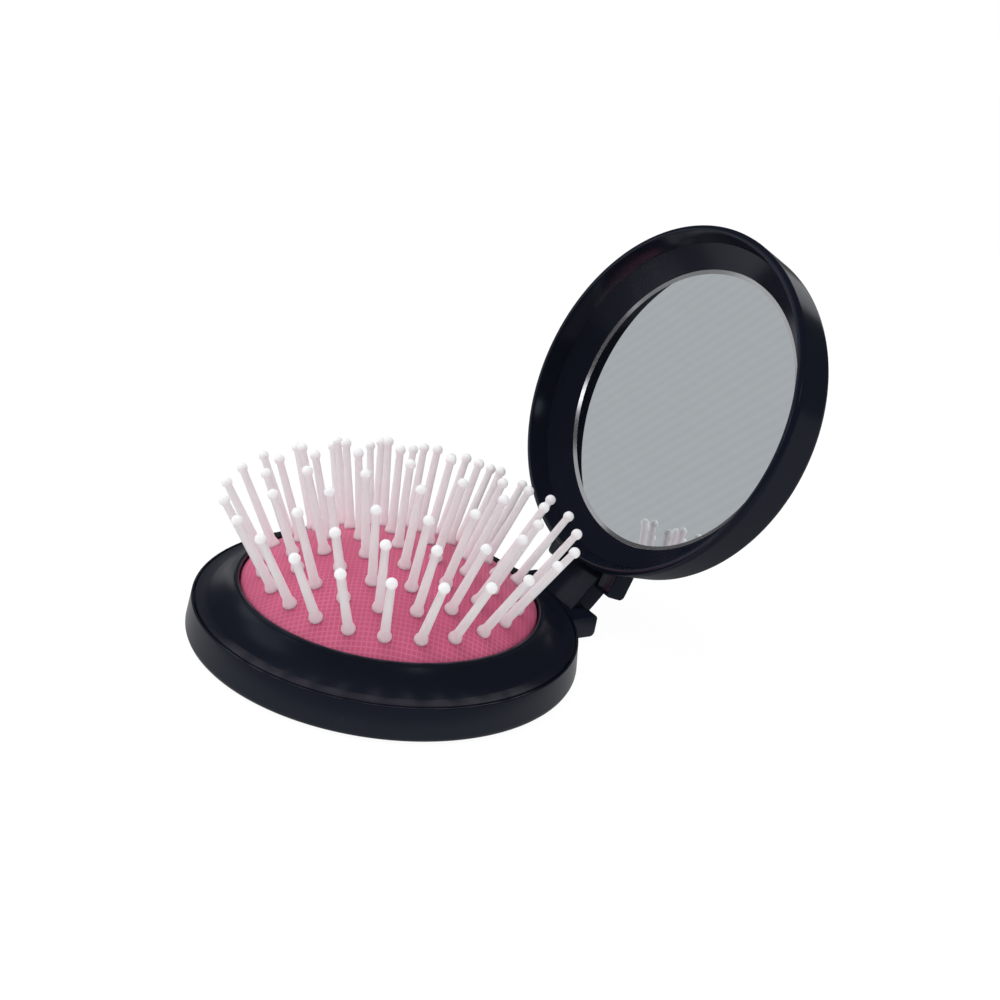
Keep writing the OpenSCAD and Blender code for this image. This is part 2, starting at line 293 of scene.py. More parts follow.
class Nodes:
    """Short names for building a node tree."""

    def __init__(self, tree: NodeTree) -> None:
        """Start on a tree."""
        self.tree = tree

    def add(self, kind: str, inputs: dict[str | int, object] | None = None, **settings: object) -> Node:
        """Add a node.

        Args:
            kind: Its type.
            inputs: Values or sockets for its inputs, by name or number.
            settings: Its own properties, which are set first.

        Returns:
            The node.
        """
        node = self.tree.nodes.new(kind)
        for key, value in settings.items():
            setattr(node, key, value)
        self.feed(node, inputs or {})
        return node

    def feed(self, node: Node, inputs: dict[str | int, object]) -> None:
        """Give a node's inputs their values, or join them to other sockets.

        Args:
            node: The node.
            inputs: Values or sockets by input name or number. Colours leave out their alpha.
        """
        for key, value in inputs.items():
            socket = node.inputs[key]
            if isinstance(value, NodeSocket):
                self.tree.links.new(value, socket)
            elif socket.type == "RGBA":
                socket.default_value = (*value, 1.0)
            else:
                socket.default_value = value

    @property
    def place(self) -> NodeSocket:
        """The Object coordinates."""
        return self.add("ShaderNodeTexCoord").outputs["Object"]

    def math(self, operation: str, a: object, b: object = 0.0) -> NodeSocket:
        """The result of a Math node on two values or sockets."""
        return self.add("ShaderNodeMath", {0: a, 1: b}, operation=operation).outputs[0]

    def mix(self, a: object, b: object, factor: object, kind: str = "MIX") -> NodeSocket:
        """The result of mixing two colours, each given as a value or a socket."""
        node = self.add("ShaderNodeMix", {"A": a, "B": b, "Factor": factor}, data_type="RGBA", blend_type=kind)
        return node.outputs["Result"]

    def worn(self, colour: Colour, darkest: float, mask: object) -> NodeSocket:
        """A colour that darkens to a share of itself as a mask rises."""
        return self.mix(colour, [c * darkest for c in colour], mask)

    def pick(self, a: object, b: object, factor: object) -> NodeSocket:
        """The result of mixing two numbers, each given as a value or a socket."""
        return self.add("ShaderNodeMix", {"A": a, "B": b, "Factor": factor}, data_type="FLOAT").outputs["Result"]

    def ramp(self, value: object, low: float, high: float, ends: Pair = (0.0, 1.0),
             smooth: bool = False) -> NodeSocket:
        """The result of a Map Range node.

        Args:
            value: The number or socket that is mapped.
            low: Where the range starts.
            high: Where the range ends.
            ends: What the two ends become.
            smooth: Whether the steps at the ends are soft.

        Returns:
            The socket with the mapped number.
        """
        given = {"Value": value, "From Min": low, "From Max": high, "To Min": ends[0], "To Max": ends[1]}
        kind = "SMOOTHSTEP" if smooth else "LINEAR"
        return self.add("ShaderNodeMapRange", given, interpolation_type=kind).outputs[0]

    def noise(self, at: object, scale: object, detail: float = 2.0, roughness: float = 0.5) -> NodeSocket:
        """The value of a Noise texture."""
        given = {"Vector": at, "Scale": scale, "Detail": detail, "Roughness": roughness}
        return self.add("ShaderNodeTexNoise", given).outputs[0]

    def mapping(self, at: object, scale: Sequence[float], turn: Sequence[float] = (0, 0, 0)) -> NodeSocket:
        """Coordinates that are turned and scaled."""
        return self.add("ShaderNodeMapping", {"Vector": at, "Scale": scale, "Rotation": turn}).outputs["Vector"]

    def vector(self, x: object = 0.0, y: object = 0.0, z: object = 0.0) -> NodeSocket:
        """A vector from three numbers, each given as a value or a socket."""
        return self.add("ShaderNodeCombineXYZ", {"X": x, "Y": y, "Z": z}).outputs[0]

    def distance(self, at: object, point: Sequence[float]) -> NodeSocket:
        """The distance of coordinates from a point."""
        return self.add("ShaderNodeVectorMath", {0: at, 1: point}, operation="DISTANCE").outputs["Value"]

    def bump(self, height: object, strength: float, depth: float) -> NodeSocket:
        """A normal from a height, with its depth in metres."""
        given = {"Height": height, "Strength": strength, "Distance": depth}
        return self.add("ShaderNodeBump", given).outputs["Normal"]

    def grain(self, grain: "Grain") -> Node:
        """The shared Surface Grain group with a finish's own values.

        Args:
            grain: The values.

        Returns:
            The group's node.
        """
        given = {"Scale": grain.scale, "Waviness": grain.waviness, "Scuffs": grain.scuffs,
                 "Base Roughness": grain.roughness}
        return self.add("ShaderNodeGroup", given, node_tree=surface_grain_group())


def start_material(name: str) -> tuple[Material, Nodes, Node]:
    """Make a plain material.

    Args:
        name: The material's name.

    Returns:
        The material, its node helper and its Principled shader, joined to the output.
    """
    material = bpy.data.materials.new(name)
    material.use_nodes = True
    material.node_tree.nodes.clear()
    n = Nodes(material.node_tree)
    shader = n.add("ShaderNodeBsdfPrincipled")
    n.add("ShaderNodeOutputMaterial", {"Surface": shader.outputs["BSDF"]})
    return material, n, shader


def start_group(name: str, inputs: Sequence[tuple[str, float, float, float]],
                outputs: Sequence[str]) -> tuple[Nodes, Node, Node]:
    """Start a shader node group.

    Args:
        name: The group's name.
        inputs: Name, lowest, highest and default value of each number that goes in.
        outputs: Name of each number that comes out.

    Returns:
        The group's node helper, its input node and its output node.
    """
    tree = bpy.data.node_groups.new(name, "ShaderNodeTree")
    for label, low, high, default in inputs:
        socket = tree.interface.new_socket(name=label, in_out="INPUT", socket_type="NodeSocketFloat")
        socket.min_value, socket.max_value, socket.default_value = low, high, default
    for label in outputs:
        tree.interface.new_socket(name=label, in_out="OUTPUT", socket_type="NodeSocketFloat")
    n = Nodes(tree)
    return n, n.add("NodeGroupInput"), n.add("NodeGroupOutput")


def surface_grain_group() -> NodeTree:
    """The shared shader group for moulded surfaces: slow waviness, fine scuffs and specks of dust.

    Returns:
        The group, with inputs Scale, Waviness, Scuffs and Base Roughness, and outputs Height, Roughness and Dust.
    """
    made = bpy.data.node_groups.get("Surface Grain")
    if made:
        return made
    wave_share, dust_share = 0.25, 9.0
    scuff_depth, scuff_roughness = -0.05, 0.18
    scuff_range, dust_range = (0.55, 0.8), (0.72, 0.8)
    stretch, lean = (1.0, 6.0, 2.0), (0.4, 0.7, 0.9)
    inputs = (("Scale", 1.0, 5000.0, 400.0), ("Waviness", 0.0, 1.0, 0.3), ("Scuffs", 0.0, 1.0, 0.3),
              ("Base Roughness", 0.0, 1.0, 0.2))
    n, given, out = start_group("Surface Grain", inputs, ("Height", "Roughness", "Dust"))
    place, scale = n.place, given.outputs["Scale"]
    wave = n.noise(place, n.math("MULTIPLY", scale, wave_share), detail=1.0)
    fine = n.noise(n.mapping(place, stretch, lean), scale, detail=6.0, roughness=0.65)
    scuffs = n.math("MULTIPLY", n.ramp(fine, *scuff_range), given.outputs["Scuffs"])
    waves = n.math("MULTIPLY", wave, given.outputs["Waviness"])
    rough = n.math("MULTIPLY", scuffs, scuff_roughness)
    dust = n.noise(place, n.math("MULTIPLY", scale, dust_share))
    n.feed(out, {"Height": n.math("ADD", waves, n.math("MULTIPLY", scuffs, scuff_depth)),
                 "Roughness": n.math("ADD", given.outputs["Base Roughness"], rough),
                 "Dust": n.ramp(dust, *dust_range)})
    return n.tree


def square_weave_group() -> NodeTree:
    """The shader group for the pad's fine square grid.

    Returns:
        The group, with inputs Pitch and Turn, and outputs Height and Thread.
    """
    made = bpy.data.node_groups.get("Square Weave")
    if made:
        return made
    thread_edge = 0.88
    inputs = (("Pitch", 0.0, 0.01, 0.0005), ("Turn", -math.pi, math.pi, 0.0))
    n, given, out = start_group("Square Weave", inputs, ("Height", "Thread"))
    turned = n.add("ShaderNodeVectorRotate", {"Vector": n.place, "Angle": given.outputs["Turn"]},
                   rotation_type="Z_AXIS")
    split = n.add("ShaderNodeSeparateXYZ", {"Vector": turned.outputs["Vector"]})
    ridges = []
    for axis in ("X", "Y"):
        cells = n.math("DIVIDE", split.outputs[axis], given.outputs["Pitch"])
        ridges.append(n.math("ABSOLUTE", n.math("COSINE", n.math("MULTIPLY", cells, math.pi))))
    high = n.math("MAXIMUM", *ridges)
    n.feed(out, {"Height": high, "Thread": n.ramp(high, thread_edge, 1.0)})
    return n.tree


@dataclass(frozen=True)
class Grain:
    """The values of the Surface Grain group in one finish."""

    scale: float
    waviness: float
    scuffs: float
    roughness: float


@dataclass(frozen=True)
class Finish:
    """What every finish has: a name and the record's slot."""

    name: str
    slot: Slot

    def material(self) -> Material:
        """The finish as a Blender material."""
        raise NotImplementedError


@dataclass(frozen=True)
class MouldedPlastic(Finish):
    """Moulded black plastic, from high gloss to plain."""

    colour: Colour = (0.0062, 0.0078, 0.0145)
    dust_colour: Colour = (0.03, 0.03, 0.035)
    tint: Colour = (0.82, 0.88, 1.0)
    grain: Grain = Grain(scale=420.0, waviness=0.5, scuffs=0.35, roughness=0.16)
    ior: float = 1.5
    bump: float = 0.05
    bump_depth: float = 0.0004

    def material(self) -> Material:
        """Make the plastic, with slow waviness, scuffs and specks of dust.

        Returns:
            The material.
        """
        material, n, shader = start_material(self.name)
        grain = n.grain(self.grain)
        n.feed(shader, {"Base Color": n.mix(self.colour, self.dust_colour, grain.outputs["Dust"]),
                        "Roughness": grain.outputs["Roughness"], "IOR": self.ior, "Specular Tint": self.tint,
                        "Normal": n.bump(grain.outputs["Height"], self.bump, self.bump_depth)})
        return material


@dataclass(frozen=True)
class GridRubber(Finish):
    """Pink rubber with a fine square grid pressed into it."""

    colour: Colour = (0.64, 0.088, 0.205)
    thread: Colour = (0.74, 0.17, 0.30)
    pitch: float = 0.0008
    turn_deg: float = -58.0
    grain: Grain = Grain(scale=300.0, waviness=1.0, scuffs=0.4, roughness=0.5)
    thread_floor: float = 0.35
    cloud: float = 0.25
    bump: float = 0.2
    bump_depth: float = 0.0001
    sheen: float = 0.05

    def material(self) -> Material:
        """Make the rubber: lighter threads, darker cells and slow variation of tone.

        Returns:
            The material.
        """
        material, n, shader = start_material(self.name)
        weave = n.add("ShaderNodeGroup", {"Pitch": self.pitch, "Turn": math.radians(self.turn_deg)},
                      node_tree=square_weave_group())
        grain = n.grain(self.grain)
        height = grain.outputs["Height"]
        thread = n.math("MULTIPLY", weave.outputs["Thread"], n.math("ADD", height, self.thread_floor))
        tone = n.mix(self.colour, self.thread, thread)
        n.feed(shader, {"Base Color": n.mix(tone, height, self.cloud, "MULTIPLY"),
                        "Roughness": grain.outputs["Roughness"], "Sheen Weight": self.sheen,
                        "Normal": n.bump(weave.outputs["Height"], self.bump, self.bump_depth)})
        return material


@dataclass(frozen=True)
class MilkyNylon(Finish):
    """Translucent white nylon, with the pad's pink light that shines through it near its foot painted into its
    colour.

    The painted tone changes with the distance from the dome's centre, in metres: foot, shaft and tip at `reach`;
    painted pink light from the pad is strongest at the foot and fades to near white at the tip.
    """

    # Painted pink light from the pad: the foot and shaft tones carry it, the tip is near plain white.
    foot: Colour = (0.84, 0.69, 0.735)
    shaft: Colour = (0.83, 0.765, 0.785)
    tip: Colour = (0.88, 0.86, 0.87)
    shade: Colour = (0.9, 0.9, 0.9)
    dome_centre_z: float = -0.0259
    reach: Triple = (0.0435, 0.0470, 0.0540)
    grain: Grain = Grain(scale=900.0, waviness=0.4, scuffs=0.3, roughness=0.32)
    scatter: float = 0.85
    scatter_radius: Colour = (1.0, 0.92, 0.9)
    scatter_depth: float = 0.002
    sheen: Pair = (0.2, 0.35)

    def material(self) -> Material:
        """Make the nylon, with light scattered inside it and painted pink light from the pad near its foot.

        Returns:
            The material.
        """
        material, n, shader = start_material(self.name)
        grain = n.grain(self.grain)
        out = n.distance(n.place, (0, 0, self.dome_centre_z))
        low, middle, high = self.reach
        # Paint the pad's pink light into the colour, fading from the foot up to the tip.
        tone = n.mix(self.foot, self.shaft, n.ramp(out, low, middle, smooth=True))
        tone = n.mix(tone, self.tip, n.ramp(out, middle, high, smooth=True))
        n.feed(shader, {"Base Color": n.mix(tone, self.shade, grain.outputs["Height"], "MULTIPLY"),
                        "Roughness": grain.outputs["Roughness"], "Subsurface Weight": self.scatter,
                        "Subsurface Radius": self.scatter_radius, "Subsurface Scale": self.scatter_depth,
                        "Sheen Weight": self.sheen[0], "Sheen Roughness": self.sheen[1]})
        return material


@dataclass(frozen=True)
class SilveredGlass(Finish):
    """The mirror's face, with faint slanting marks. `normal` is the face's own direction at rest."""

    colour: Colour = (0.84, 0.88, 0.905)
    darkest: float = 0.9
    roughness: float = 0.015
    normal: Triple = (0.0, 0.9466, -0.3223)
    stripe_deg: float = 50.0
    stripe_scale: float = 160.0
    stripe_waver: float = 0.6
    wipe_scale: float = 120.0
    wipe_stretch: Triple = (1.0, 0.15, 6.0)
    wipe_turn: Triple = (0.0, 0.6, 0.0)
    shares: Pair = (0.5, 0.3)

    def material(self) -> Material:
        """Make the mirror.

        Returns:
            The material.
        """
        material, n, shader = start_material(self.name)
        place = n.place
        wipe = n.noise(n.mapping(place, self.wipe_stretch, self.wipe_turn), self.wipe_scale)
        lean = n.add("ShaderNodeVectorRotate", {"Vector": place, "Axis": self.normal,
                                                "Angle": math.radians(self.stripe_deg)}, rotation_type="AXIS_ANGLE")
        stripe = n.add("ShaderNodeTexWave", {"Vector": lean.outputs["Vector"], "Scale": self.stripe_scale,
                                             "Distortion": self.stripe_waver}, wave_type="BANDS", bands_direction="Z")
        marks = n.math("ADD", n.math("MULTIPLY", wipe, self.shares[0]),
                       n.math("MULTIPLY", stripe.outputs["Fac"], self.shares[1]))
        n.feed(shader, {"Base Color": n.worn(self.colour, self.darkest, marks), "Metallic": 1.0,
                        "Roughness": self.roughness})
        return material


@dataclass(frozen=True)
class SatinEdge(Finish):
    """The mirror's ground and silvered edge."""

    colour: Colour = (0.86, 0.86, 0.89)
    darkest: float = 0.8
    metallic: float = 0.9
    grain: Grain = Grain(scale=700.0, waviness=1.0, scuffs=0.6, roughness=0.12)

    def material(self) -> Material:
        """Make the edge: satin silver with a little unevenness.

        Returns:
            The material.
        """
        material, n, shader = start_material(self.name)
        grain = n.grain(self.grain)
        n.feed(shader, {"Base Color": n.worn(self.colour, self.darkest, grain.outputs["Height"]),
                        "Roughness": grain.outputs["Roughness"], "Metallic": self.metallic})
        return material


@dataclass(frozen=True)
class DrawnSteel(Finish):
    """Drawn steel wire of the hinge pins."""

    colour: Colour = (0.50, 0.51, 0.53)
    darkest: float = 0.8
    line_scale: float = 9000.0
    stretch: Triple = (0.05, 1.0, 1.0)
    roughness: Pair = (0.22, 0.2)

    def material(self) -> Material:
        """Make the steel, with fine lines along the pin.

        Returns:
            The material.
        """
        material, n, shader = start_material(self.name)
        lines = n.noise(n.mapping(n.place, self.stretch), self.line_scale)
        lowest, spread = self.roughness
        n.feed(shader, {"Base Color": n.worn(self.colour, self.darkest, lines), "Metallic": 1.0,
                        "Roughness": n.math("ADD", n.math("MULTIPLY", lines, spread), lowest)})
        return material


@dataclass
class Palette:
    """The finishes of the brush, each made once."""

    gloss: MouldedPlastic = MouldedPlastic("black_gloss", Slot.BLACK)
    soft_gloss: MouldedPlastic = MouldedPlastic(
        "black_soft_gloss", Slot.BLACK, grain=Grain(scale=420.0, waviness=0.5, scuffs=0.1, roughness=0.25))
    plain: MouldedPlastic = MouldedPlastic(
        "black_plain", Slot.BLACK_MATTE, colour=(0.012, 0.012, 0.014), bump=0.12,
        grain=Grain(scale=420.0, waviness=0.5, scuffs=0.6, roughness=0.45))
    rubber: GridRubber = GridRubber("pink_grid_rubber", Slot.PINK)
    nylon: MilkyNylon = MilkyNylon("milky_nylon", Slot.NYLON)
    glass: SilveredGlass = SilveredGlass("silvered_glass", Slot.GLASS)
    glass_edge: SatinEdge = SatinEdge("silvered_edge", Slot.GLASS)
    steel: DrawnSteel = DrawnSteel("drawn_steel", Slot.STEEL)
    foam: MouldedPlastic = MouldedPlastic(
        "foam_tape", Slot.ADHESIVE, colour=(0.08, 0.08, 0.085), bump=0.3,
        grain=Grain(scale=420.0, waviness=0.5, scuffs=0.2, roughness=0.8))
    made: dict[str, Material] = field(default_factory=dict)

    def material(self, finish: Finish) -> Material:
        """The material of a finish, made on first use.

        Args:
            finish: The finish.

        Returns:
            Its material.
        """
        if finish.name not in self.made:
            self.made[finish.name] = finish.material()
        return self.made[finish.name]

    def dress(self, obj: Object, *finishes: Finish) -> None:
        """Put finishes on a piece or on a CAD node.

        Args:
            obj: The object to dress.
            finishes: Its finishes, by the material index of its faces.
        """
        if obj.data.materials:
            obj.data.materials.clear()
        for finish in finishes:
            obj.data.materials.append(self.material(finish))


# Sub-assemblies


@dataclass
class Assembly:
    """A group of pieces with one palette."""

    palette: Palette

    def finish_piece(self, obj: Object, node: str, body: Body | None, *finishes: Finish) -> None:
        """Dress a new piece, put it on its body and let it stand for a CAD node.

        Args:
            obj: The finished piece.
            node: The CAD node that it stands for.
            body: The body that it rides on, or None to leave it on no body, as for the pad, which bends between
                bodies.
            finishes: Its finishes, by the material index of its faces.
        """
        self.palette.dress(obj, *finishes)
        if body:
            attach(obj, body.value)
        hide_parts(node)
        self.report(obj)

    def keep_node(self, name: str, finish: Finish) -> None:
        """Keep a CAD node as it is and give it a finish.

        Args:
            name: The node.
            finish: Its finish.
        """
        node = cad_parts[name]
        self.palette.dress(node, finish)
        LOG.info("kept CAD node %s in %s", name, finish.name)

    def report(self, obj: Object) -> None:
        """Log a piece's size.

        Args:
            obj: The piece.
        """
        obj.data.calc_loop_triangles()
        size = [round(d / MM, 1) for d in obj.dimensions]
        LOG.info("%s: %d triangles, %s mm", obj.name, len(obj.data.loop_triangles), size)


@dataclass
class Hinge(Assembly):
    """The centre link, its two pins and the turns that open the lid. Sizes in millimetres."""

    base_pin: Point = (36.95, 2.25)
    lid_pin: Point = (34.10, 11.15)
    link_open_deg: float = 57.2
    lid_open_deg: float = 51.6
    link_w: float = 12.0
    knuckle_r: float = 2.0
    lug_x: float = 6.3
    lug_w: float = 3.7
    lug_r: float = 2.25
    lug_round: float = 1.0
    edge_round: float = 0.35
    fold_gap: float = 0.25
    side_gap: float = 0.3

    def swing(self, pin: Point, angle_deg: float) -> Matrix:
        """The turn about a pin that opens by an angle."""
        at = Vector((0, pin[0] * MM, pin[1] * MM))
        return Matrix.Translation(at) @ Matrix.Rotation(math.radians(-angle_deg), 4, "X") @ Matrix.Translation(-at)

    @property
    def link_pose(self) -> Matrix:
        """From folded shut to the link's place at rest."""
        return self.swing(self.base_pin, self.link_open_deg)

    @property
    def lid_pose(self) -> Matrix:
        """From folded shut to the lid's place at rest."""
        return self.link_pose @ self.swing(self.lid_pin, self.lid_open_deg)

    def link_outline(self, grow: float = 0.0, steps: int = 12) -> list[Point]:
        """The folded link's side outline.

        Args:
            grow: Extra size all round.
            steps: Segments in each round end.

        Returns:
            (y, z) points in millimetres.
        """
        a, b = Vector(self.base_pin), Vector(self.lid_pin)
        along = (b - a).normalized()
        across = Vector((-along.y, along.x))
        radius = self.knuckle_r + grow
        start = math.atan2(across.y, across.x)
        points = []
        for centre, first in ((a, start), (b, start + math.pi)):
            for k in range(steps + 1):
                angle = first + math.pi * k / steps
                points.append((centre.x + radius * math.cos(angle), centre.y + radius * math.sin(angle)))
        return points

    def link(self, bm: BMesh) -> None:
        """Add the folded link to bm."""
        slab(bm, self.link_outline(), -self.link_w / 2, self.link_w / 2, edge=self.edge_round)

    def pocket(self, bm: BMesh) -> None:
        """Add the room that the folded link needs to bm."""
        half = self.link_w / 2 + self.side_gap
        slab(bm, self.link_outline(self.fold_gap), -half, half)

    def lugs(self, bm: BMesh, pin: Point, root_y: float) -> None:
        """Add a pair of lugs to bm, square at the root, with rounded corners past the pin.

        Args:
            bm: The mesh.
            pin: (y, z) of the pin.
            root_y: Where the lugs start in the shell's wall.
        """
        (y, z), r, bend = pin, self.lug_r, self.lug_round
        outline = rounded_outline([Corner(root_y, z + r), Corner(root_y, z - r), Corner(y + r, z - r, bend),
                                   Corner(y + r, z + r, bend)], steps=8)
        for side in (-1, 1):
            x0, x1 = sorted((side * self.lug_x, side * (self.lug_x + self.lug_w)))
            slab(bm, outline, x0, x1, edge=self.edge_round)

    def fit_to(self, shell: Object, pin: Point, wall_r: float) -> None:
        """Cut the link's pocket out of a folded shell and give it its lugs.

        Args:
            shell: The shell.
            pin: (y, z) of the pin through its lugs.
            wall_r: Radius in the wall from which the lugs grow.
        """
        carve(shell, self.pocket)
        root_y = math.sqrt(wall_r ** 2 - self.lug_x ** 2)
        merge_into(shell, make_object(f"{shell.name}_lugs", lambda bm: self.lugs(bm, pin, root_y)))

    def build(self) -> None:
        """Make the link and dress the pins."""
        obj = make_object("link", self.link, self.link_pose)
        self.finish_piece(obj, "hinge_link", Body.LINK, self.palette.gloss)
        for name in ("base_hinge_pin", "lid_hinge_pin"):
            self.keep_node(name, self.palette.steel)


@dataclass
class Base(Assembly):
    """The base shell and the top ring. Sizes in millimetres."""

    hinge: Hinge
    base_r: float = 34.25
    base_h: float = 5.9
    base_round: float = 1.0
    lean_deg: float = 7.0
    wall: float = 1.6
    floor_t: float = 1.8
    thumb_r: float = 19.5
    ring_t: float = 0.7
    seam_gap: float = 0.25
    seam_w: float = 0.36
    band_w: float = 1.95
    lip_h: float = 9.8
    lip_w: float = 1.0
    lip_round: float = 0.42
    lip_in_r: float = 26.0
    flange_r: float = 28.4
    flange_t: float = 1.4
    lip_side: float = 0.5
    slope_r: float = 9.0
    slope_steps: int = 24

    @property
    def top_r(self) -> float:
        """Outer radius of the wall at its top edge.

        Returns:
            The radius in millimetres.
        """
        lean = math.radians(self.lean_deg)
        tangent_z = self.base_round * (1 + math.sin(lean))
        tangent_r = self.base_r - self.base_round + self.base_round * math.cos(lean)
        return tangent_r - (self.base_h - tangent_z) * math.tan(lean)

    def shell_outline(self) -> list[Point]:
        """Half section of the base shell.

        Returns:
            (r, z) points in millimetres.
        """
        top, seat_z = self.top_r, self.base_h - self.ring_t
        inner = top - self.wall
        ledge = top - self.seam_w
        foot_r = top + self.base_h * math.tan(math.radians(self.lean_deg))
        return rounded_outline([
            Corner(self.thumb_r, 0, round=0.4), Corner(foot_r, 0, self.base_round),
            Corner(top, self.base_h, round=0.12), Corner(ledge, self.base_h, round=0.1), Corner(ledge, seat_z),
            Corner(inner, seat_z), Corner(inner, self.floor_t, round=0.5),
            Corner(self.thumb_r, self.floor_t, round=0.3)])

    def ring_outline(self) -> list[Point]:
        """Half section of the top ring, with its hollow slope.

        Returns:
            (r, z) points in millimetres.
        """
        seat_z = self.base_h - self.ring_t
        ring_out = self.top_r - self.seam_w - self.seam_gap
        p = Vector((ring_out - self.band_w, self.base_h))
        q = Vector((self.lip_in_r + self.lip_w, self.lip_h - self.lip_side))
        chord = (p - q).length
        away = Vector((q.y - p.y, p.x - q.x)) / chord
        centre = (p + q) / 2 + away * math.sqrt(self.slope_r ** 2 - chord ** 2 / 4)
        a0 = math.atan2(p.y - centre.y, p.x - centre.x)
        a1 = math.atan2(q.y - centre.y, q.x - centre.x)
        if a1 > a0:
            a1 -= math.tau
        turns = [a0 + (a1 - a0) * k / self.slope_steps for k in range(self.slope_steps + 1)]
        slope = [(centre.x + self.slope_r * math.cos(a), centre.y + self.slope_r * math.sin(a)) for a in turns]
        outer = rounded_outline([Corner(ring_out, seat_z), Corner(ring_out, self.base_h, round=0.15),
                                 Corner(p.x, p.y)], support=0.1)
        under_z = seat_z + self.flange_t
        lip = rounded_outline([Corner(q.x, q.y), Corner(q.x, self.lip_h, self.lip_round),
                               Corner(self.lip_in_r, self.lip_h, self.lip_round), Corner(self.lip_in_r, under_z),
                               Corner(self.flange_r, under_z), Corner(self.flange_r, seat_z)])
        return outer[:-1] + slope + lip[1:]

    def build(self) -> None:
        """Make the shell with its lugs, and the top ring."""
        shell = make_object("base", lambda bm: lathe(bm, self.shell_outline()))
        self.hinge.fit_to(shell, self.hinge.base_pin, self.top_r - self.wall)
        self.finish_piece(shell, "base_shell", Body.BASE, self.palette.gloss)
        ring = make_object("pad_ring", lambda bm: lathe(bm, self.ring_outline()), sharp_deg=30)
        self.finish_piece(ring, "top_ring", Body.BASE, self.palette.soft_gloss)
        self.keep_node("pad_clamp", self.palette.plain)


@dataclass
class Cushion(Assembly):
    """The rubber pad and the button under it. Sizes in millimetres."""

    crown_z: float = 17.6
    dome_r: float = 43.5
    pad_r: float = 25.7
    pad_t: float = 1.4
    flange_r: float = 28.1
    flange_z: float = 5.2
    flange_t: float = 1.4
    button_r: float = 14.2
    shoulder_w: float = 0.3
    shoulder: tuple[Point, ...] = ((-0.12, 0.02), (0.0, -0.15), (0.0, -0.6))
    arc_steps: tuple[int, int] = (56, 40)
    segments: int = 160

    @property
    def centre_z(self) -> float:
        """Height of the centre of the dome's sphere."""
        return self.crown_z - self.dome_r

    def dome_z(self, r: float, sphere: float | None = None) -> float:
        """Height of a concentric sphere at radius r from the axis."""
        sphere = sphere or self.dome_r
        return self.centre_z + math.sqrt(sphere ** 2 - r ** 2)

    def arc(self, sphere: float, r0: float, r1: float, steps: int) -> list[Point]:
        """Points of a concentric sphere's section from radius r0 to r1."""
        reaches = [r0 + (r1 - r0) * k / steps for k in range(steps + 1)]
        return [(r, self.dome_z(r, sphere)) for r in reaches]

    def pad_outline(self) -> list[Point]:
        """Half section of the pad: dome, skirt and flange.

        Returns:
            (r, z) points in millimetres.
        """
        skirt_in = self.pad_r - self.pad_t
        edge_z = self.dome_z(self.pad_r)
        top, low = self.flange_z + self.flange_t, self.flange_z
        outer = self.arc(self.dome_r, 0.0, self.pad_r - self.shoulder_w, self.arc_steps[0])
        shoulder = [(self.pad_r + dr, edge_z + dz) for dr, dz in self.shoulder]
        flange = [(self.pad_r, top), (self.flange_r, top), (self.flange_r, low), (skirt_in, low)]
        inner = self.arc(self.dome_r - self.pad_t, skirt_in, 0.0, self.arc_steps[1])
        return outer + shoulder + flange + inner

    def build(self) -> None:
        """Make the pad and the button."""
        pad = make_object("pad_dome", lambda bm: lathe(bm, self.pad_outline(), self.segments))
        self.finish_piece(pad, "pad", None, self.palette.rubber)
        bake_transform(pad)
        self.keep_node("push_button", self.palette.plain)


@dataclass(frozen=True)
class BristleSizes:
    """One bristle pin, in millimetres, measured from the pad's surface. `foot` has shares of foot_r and heights."""

    length: float = 15.0
    foot_r: float = 1.2
    foot_h: float = 1.5
    foot: tuple[Point, ...] = ((0.94, 0.0), (1.0, 0.25), (0.97, 0.55), (0.86, 0.95))
    collar: float = 1.02
    shaft_r: float = 0.8
    tip_shaft_r: float = 0.65
    ball_r: float = 0.95
    head_r: float = 1.4
    head_t: float = 0.6
    head_edge: Pair = (0.85, 0.12)
    neck_in: float = 0.02
    ball_steps: int = 7

    def outline(self, shank: float) -> list[Point]:
        """Half section of a pin.

        Args:
            shank: Depth from the pad's surface to the head under it.

        Returns:
            (r, z) points from the head's middle up to the ball's top.
        """
        head_z = -shank - self.head_t
        points = [(0.0, head_z), (self.head_r * self.head_edge[0], head_z), (self.head_r, head_z + self.head_edge[1]),
                  (self.head_r, -shank), (self.shaft_r, -shank), (self.shaft_r, -self.neck_in)]
        points += [(self.foot_r * share, z) for share, z in self.foot]
        points.append((self.shaft_r * self.collar, self.foot_h))
        neck = math.asin(self.tip_shaft_r / self.ball_r)
        neck_z = self.length - self.ball_r * math.cos(neck)
        points.append((self.tip_shaft_r, neck_z))
        for k in range(1, self.ball_steps):
            angle = neck + (math.pi - neck) * k / self.ball_steps
            points.append((self.ball_r * math.sin(angle), self.length - self.ball_r * math.cos(angle)))
        return points + [(0.0, self.length + self.ball_r)]


@dataclass(frozen=True)
class Ring:
    """One ring of bristles. `sink` is the anchor height in millimetres and the share kept as the pad goes in; here
    only whether it is given is used, to put the ring on the base.
    """

    name: str
    node: str
    radius: float
    count: int
    first_deg: float
    seed: int
    sink: Pair | None = None


